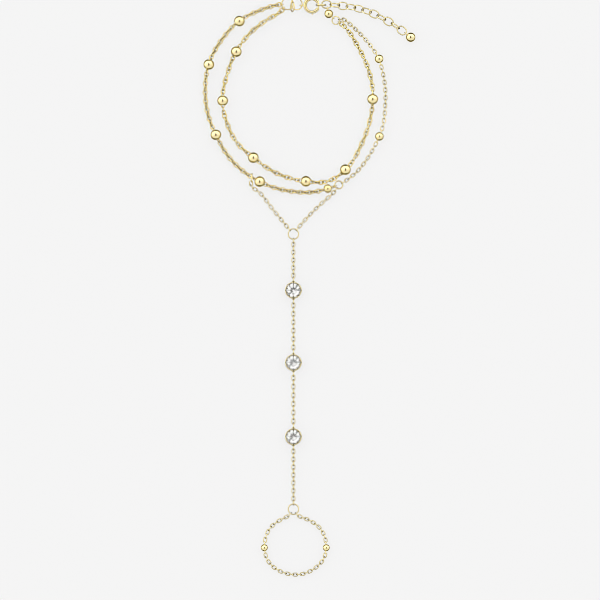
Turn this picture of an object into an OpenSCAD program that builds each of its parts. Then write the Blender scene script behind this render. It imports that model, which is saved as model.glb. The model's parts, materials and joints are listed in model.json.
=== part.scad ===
// Hand chain bracelet, laid flat: two strands round the wrist, a chain with three
// set stones over the back of the hand, and a chain loop round a finger.
// X is across the wrist, Y runs from the finger to the clasp, Z = 0 is the surface it lies on.
// The origin is the middle of the wrist loop, on that surface.

/* [Twisted strands] */
// Thickness of a twisted strand's body
strand_d = 1.4; // [1.2:0.1:1.5]
// Width that the strand's twisted links sweep as they turn
strand_sweep = 1.8; // [1.6:0.1:2]
// Wire of the eye at each end of a strand
eye_wire = 0.3; // [0.26:0.02:0.34]
// Radius of that eye's centre line
eye_r = 0.5; // [0.45:0.05:0.6]

/* [Balls and beads] */
// Diameter of the large balls on the strands
ball_d = 3.4; // [3.2:0.1:3.8]
// Diameter of the small beads on the wrist chains
bead_d = 2.75; // [2.6:0.05:3]
// Diameter of the beads on the finger loop
finger_bead_d = 2.2; // [2:0.1:2.6]
// Diameter of the ball that ends the extender
end_ball_d = 3; // [2.6:0.1:3.4]
// Gap between a strand and the bore that it passes through
bore_gap = 0.1; // [0.08:0.02:0.2]
// Radius of the centre line of a bead's soldered ears
ear_r = 0.45; // [0.42:0.01:0.5]

/* [Cable chain] */
// Outer width of a cable link
link_w = 1.3; // [1.25:0.05:1.5]
// Wire of a cable link
link_wire = 0.28; // [0.24:0.02:0.3]
// Gap between two links
link_gap = 0.1; // [0.1:0.01:0.14]
// Greatest distance from link to link over the hand
hand_pitch = 1.4; // [1.2:0.05:1.5]
// Greatest distance from link to link on the right of the wrist
wrist_pitch = 1.35; // [1.2:0.05:1.5]
// Greatest distance from link to link round the front of the finger
finger_pitch = 1.25; // [1.1:0.05:1.5]

/* [Rings] */
// Outer diameter of the rings that join the arms, the finger loop and the clasp
ring_d = 3.7; // [3.5:0.1:4]
// Wire of those rings
ring_wire = 0.36; // [0.3:0.02:0.38]
// Outer diameter of the small rings where two chains meet
small_ring_d = 2.9; // [2.8:0.1:3.2]
// Outer diameter of the ring round the outer strand that the left arm hangs from
arm_ring_d = 3.1; // [3.1:0.05:3.3]

/* [Stones] */
// Diameter of a stone at its girdle
stone_d = 4.5; // [4:0.1:5]
// Height of a stone's crown above its girdle
crown_h = 0.7; // [0.5:0.05:0.9]
// Depth of a stone's pavilion below its girdle
pavilion_h = 1.9; // [1.6:0.05:2.1]
// Share of the stone's diameter that the table takes
table_share = 0.56; // [0.5:0.02:0.62]
// Gap round a stone
stone_gap = 0.06; // [0.04:0.01:0.1]
// Thickness of a setting's rim
rim_t = 0.38; // [0.3:0.02:0.5]
// Height of the rim above the girdle
rim_h = 0.3; // [0.2:0.05:0.4]

/* [Clasp] */
// Outer diameter of the spring ring clasp
clasp_d = 5.3; // [5:0.1:5.8]
// Diameter of the clasp's tube
clasp_tube = 1; // [0.9:0.05:1.1]
// Wall of the clasp's tube
clasp_wall = 0.15; // [0.12:0.01:0.18]
// Gap between the latch and the tube that it slides in
latch_gap = 0.08; // [0.06:0.01:0.1]
// Angle of the gap that the latch closes
mouth_angle = 50; // [44:1:56]
// Width of the slot that the latch's thumb pin slides in
slot_w = 0.5; // [0.44:0.02:0.56]

/* [Extender] */
// Outer length of an extender link
ext_l = 3.5; // [3.4:0.05:3.8]
// Outer width of an extender link
ext_w = 2.8; // [2.7:0.05:3]
// Wire of an extender link
ext_wire = 0.38; // [0.32:0.02:0.4]

/* [Hidden] */
$fn = 48;

// Places of the pieces on the surface
strand_ring_at = [-1.9, 30.7];
clasp_link_ring_at = [-0.3, 29.7];
clasp_ring_at = [1.05, 30.6];
clasp_at = [5.9, 30.2];
clasp_link_at = [8.8, 30.3];
end_link_at = [10.6, 30.5];
extender_end_at = [37.5, 20];
end_bead_at = [11.3, 27.5];
end_ring_at = [13.6, 25.4];
right_bead_1_at = [27.5, -11.7];
right_bead_2_at = [27.4, 13.1];
side_ring_at = [14.5, -27.2];
hand_ring_at = [0, -42.9];
stone_at = [[0, -60.9], [0, -84], [0, -107.7]];
finger_ring_at = [0, -130.9];
finger_bead_left_at = [-9.3, -143.2];
finger_bead_right_at = [10.5, -143.2];

// Routes of the chains, as few points as their bends need
inner_route = [strand_ring_at, [-4.4, 28], [-8.4, 25.6], [-13.8, 21.4], [-18.3, 15.4],
  [-21, 8.8], [-22.7, -0.3], [-21.2, -7.6], [-17.8, -14], [-12.8, -18.5], [-5, -23.6], [4, -26.1],
  [11, -26], [16.7, -22.4], [21.4, -15], [24.6, -6], [25.4, 0.2], [24.5, 8], [21, 16.4],
  [15.2, 24.4], end_ring_at];
inner_balls = [4, 6, 9, 11, 13, 16];
outer_route = [strand_ring_at, [-4.9, 30.4], [-10, 28.9], [-17.3, 25.2], [-22.6, 19.7], [-27.1, 11.3],
  [-28.2, 4], [-27.5, -4], [-24.8, -11.2], [-20.2, -18.8], [-10.8, -26.2], [-1, -29.2], [6, -29.5],
  [11, -28.4], side_ring_at];
outer_balls = [3, 5, 8, 10, 13];
right_route_1 = [side_ring_at, [16.6, -26], [19.9, -23.4], [23.1, -19.6], [26.3, -14.2],
  right_bead_1_at];
right_route_2 = [right_bead_1_at, [28.3, -9.6], [29.3, -3], [29.4, 3.5], [28.4, 9.6],
  right_bead_2_at];
right_route_3 = [right_bead_2_at, [25.9, 15.6], [22, 20.5], [18.1, 24.2], [15.5, 26],
  end_ring_at];
extender_route = [end_link_at, [15, 30.1], [20, 29.4], [25, 27.8], [29.5, 25.6], [34.5, 22.3],
  extender_end_at];
arm_left_bends = [[-11.4, -29.1], [-6.9, -34.6], [-1.8, -40.8]];
arm_right_route = [side_ring_at, [12.9, -29.7], [10, -32.2], [5.8, -36.2], [1.8, -40.6], hand_ring_at];
finger_left_route = [finger_ring_at, [-1.2, -132.8], [-4.1, -134.3], [-7, -136.4], [-8.9, -139.8],
  finger_bead_left_at];
finger_front_route = [finger_bead_left_at, [-8.7, -146.4], [-5.9, -149.8], [-1.2, -151.7],
  [3.2, -151.6], [7.4, -149.4], [10, -146.2], finger_bead_right_at];
finger_right_route = [finger_ring_at, [1.2, -132.8], [4.6, -134.2], [8, -136.4], [10.1, -139.8],
  finger_bead_right_at];
// The left arm's ring: how far behind the middle of the ball beside it, how far swung round from
// square to the strand, and how far pulled off the strand's axis
arm_ring_back = 2.9;
arm_ring_angle = 27;
arm_ring_hang = 0.15;
// How far each extender link is rolled about the chain
extender_rolls = [-60, 20, -45, 35, -45, 20, -60, 10, 75, 0];

// Heights of the centre lines above the surface
strand_z = strand_sweep / 2;
chain_z = link_w / 2;
extender_z = ext_w / 2;
clasp_z = ext_wire + link_gap + clasp_tube / 2;
strand_ring_z = 0.9;
clasp_link_ring_z = 1.55;
clasp_ring_z = 1.7;
// Tilts of the two rings between the strands and the clasp, and the three rings' centre-line radii
clasp_link_ring_tilt = -67;
clasp_ring_tilt = 18;
clasp_ring_r = 1.85;
clasp_link_ring_r = 1.46;

// Stretch beside a ball along which a chain slopes down to the surface
slope = 4;
// Distance between the rings of points along a strand's body, and the sides of a ring
station_step = 4;
strand_sides = 8;
// Samples of a route between two of its points
steps = 8;
// A link's length is a whole number of these steps
link_step = 0.02;
// Extra length of a link, for the bends and slopes of its chain
link_play = 0.12;

// Centre-line radii
ring_r = (ring_d - ring_wire) / 2;
small_ring_r = (small_ring_d - ring_wire) / 2;
arm_ring_r = (arm_ring_d - ring_wire) / 2;
clasp_r = (clasp_d - clasp_tube) / 2;
// Radius of the clasp's eye, whose wire is a little thicker than a ring's
clasp_eye_r = 0.65;
clasp_eye_wire = 0.45;

// A route's directions at its points, each the mean of its two sides
function step(route, i) = norm(route[i + 1] - route[i]);
function way(route, i) = (route[i + 1] - route[i]) / step(route, i);
function heading(route, i) =
  i == 0 ? way(route, 0) :
  i == len(route) - 1 ? way(route, i - 1) :
  (way(route, i - 1) * step(route, i) + way(route, i) * step(route, i - 1))
    / (step(route, i - 1) + step(route, i));
// A cubic from point a to point b that leaves and arrives along the slopes p and q
function cubic(a, b, p, q, t) =
  a * (1 - 3 * t * t + 2 * t * t * t) + b * (3 * t * t - 2 * t * t * t)
  + p * (t - 2 * t * t + t * t * t) + q * (t * t * t - t * t);
function curve(route) = concat(
  [for (i = [0 : len(route) - 2]) for (j = [0 : steps - 1])
    cubic(route[i], route[i + 1], heading(route, i) * step(route, i),
      heading(route, i + 1) * step(route, i), j / steps)],
  [route[len(route) - 1]]);
// The length of the way to each of the points
function lengths(points) =
  [for (i = 0, s = 0; i < len(points);
    s = s + (i < len(points) - 1 ? norm(points[i + 1] - points[i]) : 0), i = i + 1) s];
// A measured route: its length against x, its length against y, and the length at each point
function measure(route) =
  let (points = curve(route), s = lengths(points))
  [[for (i = [0 : len(points) - 1]) [s[i], points[i].x]],
    [for (i = [0 : len(points) - 1]) [s[i], points[i].y]],
    [for (i = [0 : len(route) - 1]) s[i * steps]]];
function whole(path) = path[2][len(path[2]) - 1];
function bearing(a, b) = atan2(b.y - a.y, b.x - a.x);
// The place on a measured route after a length s
function spot(path, s) = [lookup(s, path[0]), lookup(s, path[1])];
// 1 within a distance, easing to 0 over the slope beyond it
function ease(t) = t <= 0 ? 1 : t >= 1 ? 0 : (1 + cos(180 * t)) / 2;

// Strands
inner_path = measure(inner_route);
outer_path = measure(outer_route);
// A threaded ball: how far along the strand its middle sits, and its diameter
inner_seats = [for (i = inner_balls) [inner_path[2][i], ball_d]];
outer_seats = [for (i = outer_balls)
  [outer_path[2][i], i == outer_balls[len(outer_balls) - 1] ? bead_d : ball_d]];
// The height of a strand's axis, lifted where a ball carries it
function strand_height(s, seats) =
  strand_z + max([for (seat = seats)
    (seat[1] / 2 - strand_z) * ease((abs(s - seat[0]) - seat[1] / 2) / slope)]);
// The ring at the outer strand's end, held up by the bead beside it, and the one by the end bead
side_ring_z = strand_height(whole(outer_path) - small_ring_r, outer_seats);
end_ring_z = (extender_z + strand_z) / 2;
// The height of that leaning ring's wire where the right chain holds it
end_ring_chain_z = end_ring_z + (extender_z - strand_z) / 2
  * cos(bearing(end_ring_at, right_route_3[len(right_route_3) - 2]) - bearing(end_ring_at, end_bead_at));
function place(path, s, seats) = concat(spot(path, s), [strand_height(s, seats)]);
// Where the rings of points go: both ends of each ball's straight seat, and even steps between
function stations(seats, first, last) =
  let (edges = concat([first],
    [for (seat = seats) each [seat[0] - seat[1] / 2, seat[0] + seat[1] / 2]], [last]))
  [for (i = [0 : 2 : len(edges) - 2])
    let (n = max(1, ceil((edges[i + 1] - edges[i]) / station_step)))
    for (j = [0 : n]) edges[i] + (edges[i + 1] - edges[i]) * j / n];
// A ring of points round b, square to the way from a to c
function section(a, b, c, sides, radius) =
  let (along = (c - a) / norm(c - a),
    flat = cross([0, 0, 1], along),
    side = flat / norm(flat),
    up = cross(along, side))
  [for (k = [0 : sides - 1]) b + radius * (side * cos(360 * k / sides) + up * sin(360 * k / sides))];
// A round body along a line of points
module sweep(points, radius, sides) {
  n = len(points);
  rings = [for (i = [0 : n - 1])
    each section(points[max(i - 1, 0)], points[i], points[min(i + 1, n - 1)], sides, radius)];
  skin = [for (i = [0 : n - 2]) for (k = [0 : sides - 1]) each [
    [i * sides + k, (i + 1) * sides + k, (i + 1) * sides + (k + 1) % sides],
    [i * sides + k, (i + 1) * sides + (k + 1) % sides, i * sides + (k + 1) % sides]]];
  polyhedron(points = rings, faces = concat(skin,
    [[for (k = [0 : sides - 1]) k]],
    [[for (k = [sides - 1 : -1 : 0]) (n - 1) * sides + k]]));
}
module torus(radius, wire) {
  rotate_extrude() translate([radius, 0]) circle(d = wire);
}
// The whole strand: its body, and a standing eye round the ring at each end
module strand(path, seats, first_ring_r, last_ring_r) {
  first_eye = first_ring_r;
  last_eye = whole(path) - last_ring_r;
  points = [for (s = stations(seats, first_eye + eye_r, last_eye - eye_r)) place(path, s, seats)];
  sweep(points, strand_d / 2, strand_sides);
  for (s = [first_eye, last_eye]) {
    way_x = spot(path, s + eye_r) - spot(path, s - eye_r);
    translate(place(path, s, seats))
      rotate([90, 0, bearing([0, 0], way_x)])
        torus(eye_r, eye_wire);
  }
}
// A ball bored for the strand, in line with the straight stretch that it sits on
module strand_ball(path, seats, which) {
  seat = seats[which];
  a = place(path, seat[0] - seat[1] / 2, seats);
  b = place(path, seat[0] + seat[1] / 2, seats);
  translate((a + b) / 2)
    rotate([0, 90, bearing(a, b)])
      difference() {
        sphere(d = seat[1]);
        cylinder(d = strand_d + 2 * bore_gap, h = 2 * seat[1], center = true);
      }
}

// The ring round the outer strand that holds the left arm, and the arm's route away from it
arm_ring_s = outer_seats[3][0] - arm_ring_back;
arm_ring_turn = arm_ring_angle - 90
  + bearing(spot(outer_path, arm_ring_s - eye_r), spot(outer_path, arm_ring_s + eye_r));
arm_ring_way = [cos(arm_ring_turn), sin(arm_ring_turn)];
arm_ring_at = spot(outer_path, arm_ring_s) + arm_ring_hang * arm_ring_way;
arm_left_route = concat([arm_ring_at, arm_ring_at + (arm_ring_r + hand_pitch) * arm_ring_way],
  arm_left_bends, [hand_ring_at]);

// Links
// A link with round ends and straight sides, lying along X
module oval_link(length, width, wire) {
  bend = (width - wire) / 2;
  half = (length - width) / 2;
  for (end = [0, 180])
    rotate([0, 0, end]) translate([half, 0, 0])
      rotate([0, 0, -90]) rotate_extrude(angle = 180) translate([bend, 0]) circle(d = wire);
  for (y = [-bend, bend])
    translate([0, y, 0]) rotate([0, 90, 0]) cylinder(d = wire, h = 2 * half, center = true);
}
// How far a link's middle lies beyond the wire that its end holds
function hook(length, wire, held) = (length - wire) / 2 - (wire + held) / 2 - link_gap;
// Number of links in a room, odd or even as the ends' rolls need
function links(room, pitch, parity) =
  let (n = ceil(room / pitch - 0.001))
  parity == "any" || n % 2 == (parity == "odd" ? 1 : 0) ? n : n + 1;
// The distance from link to link of one length, drawn out to their gap
function drawn(length, wire) = length - 2 * wire - link_gap;
// The length at which links are drawn out at a pitch, in whole steps
function length_at(pitch, wire) =
  link_step * floor((pitch + 2 * wire + link_gap + link_play) / link_step);
// A chain of links along a route, from the wire held at one end to that at the other. The links
// are drawn out, and as long as it takes for a whole number of them to fill the route.
module chain(route, reach, held, z, rolls, parity, pitch, width, wire, low) {
  path = measure(route);
  room = whole(path) - reach[0] - reach[1] + (held[0] + held[1]) / 2 + link_gap - link_play;
  n = links(room, pitch, parity);
  length = length_at(room / n, wire);
  start = reach[0] + hook(length, wire, held[0]);
  stop = whole(path) - reach[1] - hook(length, wire, held[1]);
  run_in = slope + max(reach);
  half = (length - wire) / 2;
  for (i = [0 : n - 1]) {
    s = start + (stop - start) * i / (n - 1);
    a = spot(path, s - half);
    b = spot(path, s + half);
    rise = [for (t = [s - half, s, s + half])
      low + (z[0] - low) * ease((t - reach[0]) / run_in)
        + (z[1] - low) * ease((whole(path) - reach[1] - t) / run_in)];
    translate([(a.x + b.x) / 2, (a.y + b.y) / 2, rise[1]])
      rotate([0, -atan2(rise[2] - rise[0], norm(b - a)), bearing(a, b)])
        rotate([rolls[i % len(rolls)], 0, 0])
          oval_link(length, width, wire);
  }
}
module cable_chain(route, reach, held, z = [chain_z, chain_z], rolls = [90, 0], parity = "odd",
    pitch = hand_pitch) {
  chain(route, reach, held, z, rolls, parity, pitch, link_w, link_wire, chain_z);
}

// Beads
// How far a bead's middle lies from the wire of its ear that the chain holds
function bead_reach(size) = size / 2 + 2 * ear_r;
// A bead with a standing ear soldered on at each of the given bearings
module eared_bead(at, z, size, bearings) {
  color("gold") translate([at.x, at.y, z]) {
    sphere(d = size);
    for (turn = bearings)
      rotate([0, 0, turn]) translate([size / 2 + ear_r, 0, 0]) rotate([90, 0, 0])
        torus(ear_r, link_wire);
  }
}
// The bearing of a route as it leaves its first point, or comes back into its last
function leaving(route) =
  let (path = measure(route)) bearing(spot(path, 0), spot(path, 2 * ear_r + bead_d / 2));
function coming(route) =
  let (path = measure(route), s = whole(path))
  bearing(spot(path, s), spot(path, s - 2 * ear_r - bead_d / 2));

// Stones and settings
// Height of a stone's girdle, and of its culet above the surface
girdle_h = 0.12;
culet_z = 0.25;
stone_r = stone_d / 2;
// Where the facets break, as shares of the stone's radius, crown and pavilion
crown_break_r = 0.8;
crown_break_h = 0.55;
pavilion_break_r = 0.55;
pavilion_break_h = 0.5;
// A setting's foot against its rim, and the opening under the stone against the stone
foot_share = 0.68;
ledge_share = 0.93;
// Scallops round the rim, and their width against the rim's height
scallops = 8;
scallop_share = 1.7;
// Overlap of a cut past the face that it opens
over = 0.01;
girdle_z = culet_z + pavilion_h;
// How far below the girdle the ledge lies, clear of the pavilion
ledge_drop = (1 - ledge_share + 3 * stone_gap / stone_r) * pavilion_break_h * pavilion_h
  / (1 - pavilion_break_r);
rim_r = stone_r + stone_gap + rim_t;
// The setting narrows to its foot
foot_r = foot_share * rim_r;
function cup_r(z) = foot_r + (rim_r - foot_r) * z / girdle_z;
setting_reach = cup_r(chain_z) + 2 * ear_r;
// Points evenly round a circle at one height
function round_points(radius, z, sides, turn) =
  [for (k = [0 : sides - 1])
    [radius * cos(360 * (k + turn) / sides), radius * sin(360 * (k + turn) / sides), z]];
// A round brilliant, the hull of its corners: table, crown breaks, girdle, pavilion breaks, culet
module stone(which) {
  corners = concat(
    round_points(table_share * stone_r, girdle_h + crown_h, 8, 0),
    round_points(crown_break_r * stone_r, girdle_h + crown_break_h * crown_h, 8, 0.5),
    round_points(stone_r, girdle_h, 16, 0.5),
    round_points(stone_r, 0, 16, 0.5),
    round_points(pavilion_break_r * stone_r, -pavilion_break_h * pavilion_h, 8, 0.5),
    [[0, 0, -pavilion_h]]);
  color("lavender") translate([stone_at[which].x, stone_at[which].y, girdle_z])
    hull()
      polyhedron(points = corners, faces = [[for (i = [0 : len(corners) - 1]) i]]);
}
// A cup that narrows to its foot, with a scalloped rim, a ledge for the stone and two flat ears
module setting(which) {
  color("gold") translate([stone_at[which].x, stone_at[which].y, 0]) {
    difference() {
      union() {
        cylinder(r1 = foot_r, r2 = rim_r, h = girdle_z);
        translate([0, 0, girdle_z]) cylinder(r = rim_r, h = rim_h + girdle_h);
      }
      translate([0, 0, girdle_z - ledge_drop])
        cylinder(r = stone_r + stone_gap, h = 2 * rim_r);
      translate([0, 0, -over])
        cylinder(r1 = foot_r - rim_t, r2 = ledge_share * stone_r, h = girdle_z);
      for (k = [0 : scallops - 1])
        translate([0, 0, girdle_z + girdle_h + rim_h])
          rotate([90, 0, 360 * k / scallops])
            cylinder(d = scallop_share * rim_h, h = 2 * rim_r);
    }
    for (side = [-1, 1])
      translate([0, side * (cup_r(chain_z) + ear_r), chain_z]) torus(ear_r, link_wire);
  }
}
// A straight route from one place to another
function between(a, b) = [a, (a + b) / 2, b];

// Clasp
latch_d = clasp_tube - 2 * clasp_wall - 2 * latch_gap;
// Angles round the clasp: where the latch's pin sits, and how far the latch reaches past the mouth
pin_angle = -86;
latch_grip = 4;
latch_tip = mouth_angle / 2 + latch_grip;
latch_tail = pin_angle - latch_grip;
latch_travel = mouth_angle + latch_grip + 2;
// Angles of play beyond the latch's tip and tail, and beside its pin
tip_play = 3;
tail_play = 8;
pin_play = 8;
pin_d = slot_w - 2 * latch_gap;
// How far the pin stands out of the clasp's tube
pin_stand = 0.35;
// A round bar bent along the clasp's circle from one angle to another
module arc_tube(from, to, diameter) {
  rotate([0, 0, from]) rotate_extrude(angle = to - from) translate([clasp_r, 0]) circle(d = diameter);
}
// The hollow ring with its mouth, the slot for the pin and the standing eye
module clasp_body() {
  slot_end = pin_angle - latch_travel - pin_play;
  color("gold") translate([clasp_at.x, clasp_at.y, clasp_z]) {
    difference() {
      arc_tube(mouth_angle / 2, 360 - mouth_angle / 2, clasp_tube);
      arc_tube(latch_tail - latch_travel - tail_play, 0, clasp_tube - 2 * clasp_wall);
      arc_tube(0, latch_tip + tip_play, clasp_tube - 2 * clasp_wall);
      rotate([0, 0, slot_end])
        rotate_extrude(angle = pin_angle + pin_play - slot_end)
          translate([clasp_r + latch_d / 2, -slot_w / 2]) square([clasp_tube, slot_w]);
    }
    translate([-clasp_r - clasp_tube / 2 - clasp_eye_r + clasp_eye_wire / 2, 0, 0])
      rotate([90, 0, 0]) torus(clasp_eye_r, clasp_eye_wire);
  }
}
// The rod that closes the mouth, with its thumb pin
module clasp_latch() {
  color("gold") translate([clasp_at.x, clasp_at.y, clasp_z]) {
    arc_tube(latch_tail, latch_tip, latch_d);
    rotate([0, 0, pin_angle]) translate([clasp_r, 0, 0]) rotate([0, 90, 0])
      cylinder(d = pin_d, h = clasp_tube / 2 + pin_stand);
  }
}

// Pieces
module inner_strand() {
  color("gold") strand(inner_path, inner_seats, clasp_ring_r, small_ring_r);
}
module outer_strand() {
  color("gold") strand(outer_path, outer_seats, clasp_ring_r, small_ring_r);
}
module flat_ring(at, z, radius) {
  color("gold") translate([at.x, at.y, z]) torus(radius, ring_wire);
}
module inner_ball(which) {
  color("gold") strand_ball(inner_path, inner_seats, which);
}
module outer_ball(which) {
  color("gold") strand_ball(outer_path, outer_seats, which);
}
module clasp_link_ring() {
  color("gold") translate([clasp_link_ring_at.x, clasp_link_ring_at.y, clasp_link_ring_z])
    rotate([0, clasp_link_ring_tilt, 0]) torus(clasp_link_ring_r, ring_wire);
}
module clasp_ring() {
  color("gold") translate([clasp_ring_at.x, clasp_ring_at.y, clasp_ring_z])
    rotate([0, clasp_ring_tilt, 0]) torus(clasp_ring_r, ring_wire);
}
module clasp_link() {
  color("gold") translate([clasp_link_at.x, clasp_link_at.y, extender_z])
    rotate([90, 0, 0]) oval_link(ext_l, ext_w, ext_wire);
}
module end_link() {
  color("gold") translate([end_link_at.x, end_link_at.y, extender_z])
    oval_link(ext_l, ext_w, ext_wire);
}
module extender_chain() {
  color("gold") chain(extender_route, [(ext_l - ext_wire) / 2, bead_reach(end_ball_d)],
    [ext_wire, link_wire], [extender_z, end_ball_d / 2], extender_rolls, "any",
    drawn(ext_l, ext_wire), ext_w, ext_wire, extender_z);
}
module extender_ball() {
  eared_bead(extender_end_at, end_ball_d / 2, end_ball_d, [coming(extender_route)]);
}
// The ring beside the end bead leans from the bead's ear down to the strand's eye
module end_ring() {
  color("gold") translate([end_ring_at.x, end_ring_at.y, end_ring_z])
    rotate([0, -asin((extender_z - strand_z) / (2 * small_ring_r)),
      bearing(end_ring_at, end_bead_at)]) torus(small_ring_r, ring_wire);
}
module end_bead() {
  eared_bead(end_bead_at, extender_z, bead_d,
    [bearing(end_bead_at, end_link_at), bearing(end_bead_at, end_ring_at)]);
}
module right_bead_1() {
  eared_bead(right_bead_1_at, bead_d / 2, bead_d,
    [coming(right_route_1), leaving(right_route_2)]);
}
module right_bead_2() {
  eared_bead(right_bead_2_at, bead_d / 2, bead_d,
    [coming(right_route_2), leaving(right_route_3)]);
}
module right_chain_1() {
  color("gold") cable_chain(right_route_1, [small_ring_r, bead_reach(bead_d)],
    [ring_wire, link_wire], [side_ring_z, bead_d / 2], parity = "even", pitch = wrist_pitch);
}
module right_chain_2() {
  color("gold") cable_chain(right_route_2, [bead_reach(bead_d), bead_reach(bead_d)],
    [link_wire, link_wire], [bead_d / 2, bead_d / 2], rolls = [0, 90], pitch = wrist_pitch);
}
module right_chain_3() {
  color("gold") cable_chain(right_route_3, [bead_reach(bead_d), small_ring_r],
    [link_wire, ring_wire], [bead_d / 2, end_ring_chain_z], rolls = [0, 90], parity = "even",
    pitch = wrist_pitch);
}
module arm_ring() {
  color("gold") translate(concat(arm_ring_at, [arm_ring_d / 2]))
    rotate([90, 0, arm_ring_turn]) torus(arm_ring_r, ring_wire);
}
module arm_left() {
  color("gold") cable_chain(arm_left_route, [arm_ring_r, ring_r], [ring_wire, ring_wire],
    [arm_ring_d / 2, chain_z], rolls = [0, 90], parity = "even");
}
module arm_right() {
  color("gold") cable_chain(arm_right_route, [small_ring_r, ring_r], [ring_wire, ring_wire],
    [side_ring_z, chain_z]);
}
module hand_chain_1() {
  color("gold") cable_chain(between(hand_ring_at, stone_at[0]), [ring_r, setting_reach],
    [ring_wire, link_wire]);
}
module hand_chain_2() {
  color("gold") cable_chain(between(stone_at[0], stone_at[1]), [setting_reach, setting_reach],
    [link_wire, link_wire]);
}
module hand_chain_3() {
  color("gold") cable_chain(between(stone_at[1], stone_at[2]), [setting_reach, setting_reach],
    [link_wire, link_wire]);
}
module hand_chain_4() {
  color("gold") cable_chain(between(stone_at[2], finger_ring_at), [setting_reach, ring_r],
    [link_wire, ring_wire]);
}
module finger_bead_left() {
  eared_bead(finger_bead_left_at, finger_bead_d / 2, finger_bead_d,
    [coming(finger_left_route), leaving(finger_front_route)]);
}
module finger_bead_right() {
  eared_bead(finger_bead_right_at, finger_bead_d / 2, finger_bead_d,
    [coming(finger_right_route), coming(finger_front_route)]);
}
module finger_chain_left() {
  color("gold") cable_chain(finger_left_route, [ring_r, bead_reach(finger_bead_d)],
    [ring_wire, link_wire], [chain_z, finger_bead_d / 2], parity = "even");
}
module finger_chain_right() {
  color("gold") cable_chain(finger_right_route, [ring_r, bead_reach(finger_bead_d)],
    [ring_wire, link_wire], [chain_z, finger_bead_d / 2], parity = "even");
}
module finger_chain_front() {
  color("gold") cable_chain(finger_front_route,
    [bead_reach(finger_bead_d), bead_reach(finger_bead_d)], [link_wire, link_wire],
    [finger_bead_d / 2, finger_bead_d / 2], rolls = [0, 90], pitch = finger_pitch);
}

inner_strand();
outer_strand();
inner_ball(0);  // inner_ball_1
inner_ball(1);  // inner_ball_2
inner_ball(2);  // inner_ball_3
inner_ball(3);  // inner_ball_4
inner_ball(4);  // inner_ball_5
inner_ball(5);  // inner_ball_6
outer_ball(0);  // outer_ball_1
outer_ball(1);  // outer_ball_2
outer_ball(2);  // outer_ball_3
outer_ball(3);  // outer_ball_4
outer_ball(4);  // outer_ball_5
flat_ring(strand_ring_at, strand_ring_z, clasp_ring_r);  // strand_ring
clasp_link_ring();
clasp_ring();
clasp_body();
clasp_latch();
clasp_link();
end_link();
extender_chain();
extender_ball();
end_bead();
end_ring();
right_chain_1();
right_bead_1();
right_chain_2();
right_bead_2();
right_chain_3();
flat_ring(side_ring_at, side_ring_z, small_ring_r);  // side_ring
arm_ring();
arm_left();
arm_right();
flat_ring(hand_ring_at, chain_z, ring_r);  // hand_ring
hand_chain_1();
hand_chain_2();
hand_chain_3();
hand_chain_4();
setting(0);  // setting_1
setting(1);  // setting_2
setting(2);  // setting_3
stone(0);  // stone_1
stone(1);  // stone_2
stone(2);  // stone_3
flat_ring(finger_ring_at, chain_z, ring_r);  // finger_ring
finger_chain_left();
finger_bead_left();
finger_chain_front();
finger_bead_right();
finger_chain_right();
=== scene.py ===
# %% [markdown]
# A hand chain bracelet lies flat on a pale table and is seen from straight above: two twisted
# strands with polished balls round the wrist, a fine cable chain with three set stones over the
# back of the hand, and a chain loop for a finger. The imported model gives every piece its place.
# Shapes are worked out in the millimetres of a jeweller's drawing, and MM turns them into the
# metres that Blender keeps.

import json

import bpy
import numpy as np
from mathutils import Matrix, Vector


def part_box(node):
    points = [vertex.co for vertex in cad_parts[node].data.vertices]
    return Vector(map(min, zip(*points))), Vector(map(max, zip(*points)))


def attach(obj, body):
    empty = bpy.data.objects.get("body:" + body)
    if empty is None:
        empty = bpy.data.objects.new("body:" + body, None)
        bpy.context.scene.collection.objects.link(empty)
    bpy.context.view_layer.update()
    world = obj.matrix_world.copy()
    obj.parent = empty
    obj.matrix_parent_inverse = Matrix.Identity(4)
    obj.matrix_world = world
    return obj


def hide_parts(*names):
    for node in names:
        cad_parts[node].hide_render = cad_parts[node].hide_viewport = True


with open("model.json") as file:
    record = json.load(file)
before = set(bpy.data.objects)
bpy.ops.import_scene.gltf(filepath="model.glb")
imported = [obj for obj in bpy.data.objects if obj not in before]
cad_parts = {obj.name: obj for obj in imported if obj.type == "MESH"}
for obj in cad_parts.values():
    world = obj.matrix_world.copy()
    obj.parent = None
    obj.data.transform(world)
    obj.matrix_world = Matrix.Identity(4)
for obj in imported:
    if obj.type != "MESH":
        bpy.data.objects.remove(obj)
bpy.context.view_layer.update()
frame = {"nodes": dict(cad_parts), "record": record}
MM = 0.001


# %% [markdown]
# Most new pieces are the same idea: a closed loop of points is carried round a closed path, and
# the points make a grid that wraps round in both directions, so no seam or pole is left open.
# Whole arrays of points go to Blender at once, which stays quick for hundreds of links.


# %% Grids of points to meshes
def grid_faces(rows, columns):
    """Four-sided faces of a closed grid: each point, the next in its row, the two below them."""
    r, c = np.arange(rows)[:, None], np.arange(columns)[None, :]
    r1, c1 = (r + 1) % rows, (c + 1) % columns
    corners = [r * columns + c, r * columns + c1, r1 * columns + c1, r1 * columns + c]
    return np.stack(corners, -1).reshape(-1, 4)


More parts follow.
